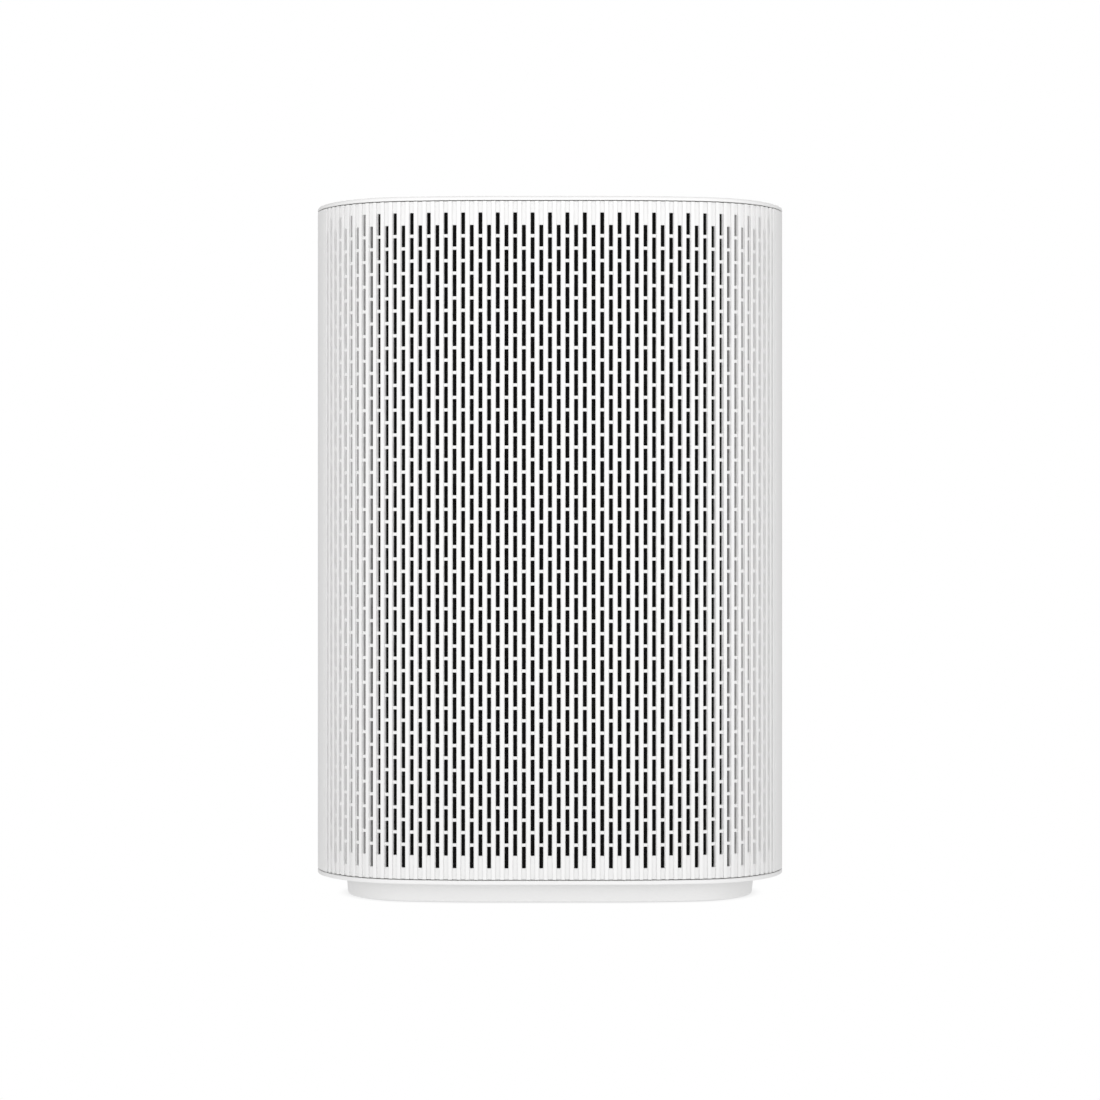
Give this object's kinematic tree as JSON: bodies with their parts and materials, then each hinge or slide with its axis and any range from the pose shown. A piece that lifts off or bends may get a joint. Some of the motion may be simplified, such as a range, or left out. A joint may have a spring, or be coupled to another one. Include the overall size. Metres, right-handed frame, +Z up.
{
  "type": "air purifier",
  "caption": "White oval air purifier with a ribbed, slotted pull-off intake panel, filter cartridge, centrifugal fan, top outlet grille and recessed base.",
  "frame": {"origin": "on the floor under the middle of the cabinet", "axes": "+Z up, the intake panel faces -Y, +X to the right of someone facing the panel"},
  "size_m": [0.32, 0.167, 0.471],
  "materials": {
    "shell_white": "fine satin moulded, white",
    "grille_white": "satin moulded, white",
    "strip_grey": "fine satin, pale grey",
    "button_white": "satin moulded, white",
    "light_lens": "clear moulded light guide",
    "mesh_black": "black woven pre-filter net",
    "frame_black": "black moulded",
    "cartridge_grey": "pale grey moulded",
    "media_white": "pleated fibre sheet",
    "carbon_black": "carbon granule mat",
    "foam_grey": "closed-cell foam",
    "chassis_grey": "grey moulded",
    "wheel_black": "glass-filled moulded",
    "steel": "plain steel",
    "zinc": "zinc-plated",
    "magnet_grey": "plated magnet",
    "copper": "enamelled winding",
    "board_green": "solder mask",
    "black_part": "black moulded",
    "rubber": "moulded rubber"
  },
  "bodies": {
    "cabinet": {"rear_housing": "shell_white", "top_cover": "shell_white", "bottom_cover": "shell_white", "base": "shell_white", "rubber_feet": "rubber", "outlet_grille": "grille_white", "control_strip": "strip_grey", "status_light": "light_lens", "control_board": "board_green", "tact_switches": "black_part", "chassis": "chassis_grey", "strike_plates": "steel", "panel_switch": "black_part", "inlet_guard": "grille_white", "bellmouth": "chassis_grey", "scroll_housing": "chassis_grey", "outlet_duct": "chassis_grey", "motor_stator": "copper", "motor_can": "zinc", "motor_bearings": "steel", "motor_grommets": "rubber", "handle_cup": "grille_white", "power_inlet": "black_part", "inlet_pins": "zinc", "power_board": "board_green", "power_parts": "black_part", "air_sensor": "black_part", "chassis_screws": "zinc", "scroll_screws": "zinc", "motor_screws": "zinc", "cover_screws": "zinc", "base_screws": "zinc"},
    "panel": {"front_panel": "shell_white", "prefilter_frame": "frame_black", "prefilter_mesh": "mesh_black", "panel_magnets": "magnet_grey"},
    "cartridge": {"filter_frame": "cartridge_grey", "filter_pleats": "media_white", "carbon_layer": "carbon_black", "filter_seal": "foam_grey", "filter_pull_tab": "cartridge_grey"},
    "fan_wheel": {"impeller": "wheel_black", "impeller_nut": "zinc", "rotor_shaft": "steel", "motor_rotor": "steel"},
    "power_key": {"power_button": "button_white"},
    "speed_key": {"speed_button": "button_white"},
    "timer_key": {"timer_button": "button_white"},
    "lock_key": {"lock_button": "button_white"}
  },
  "joints": [
    {"name": "panel_pull", "type": "slide", "parent": "cabinet", "child": "panel", "axis": [0, -1, 0], "range_m": [0, 0.14]},
    {"name": "cartridge_pull", "type": "slide", "parent": "cabinet", "child": "cartridge", "axis": [0, -1, 0], "range_m": [0, 0.07]},
    {"name": "fan_spin", "type": "hinge", "parent": "cabinet", "child": "fan_wheel", "pos_m": [0, 0, 0.18751], "axis": [0, 1, 0], "continuous": true},
    {"name": "power_press", "type": "slide", "parent": "cabinet", "child": "power_key", "axis": [0, 0, -1], "range_m": [0, 0.001], "stiffness_N_per_m": 500, "springref_m": -0.001},
    {"name": "speed_press", "type": "slide", "parent": "cabinet", "child": "speed_key", "axis": [0, 0, -1], "range_m": [0, 0.001], "stiffness_N_per_m": 500, "springref_m": -0.001},
    {"name": "timer_press", "type": "slide", "parent": "cabinet", "child": "timer_key", "axis": [0, 0, -1], "range_m": [0, 0.001], "stiffness_N_per_m": 500, "springref_m": -0.001},
    {"name": "lock_press", "type": "slide", "parent": "cabinet", "child": "lock_key", "axis": [0, 0, -1], "range_m": [0, 0.001], "stiffness_N_per_m": 500, "springref_m": -0.001}
  ],
  "couplings": [
    {"joint": "cartridge_pull", "follows": "panel_pull", "ratio": 0.5}
  ]
}
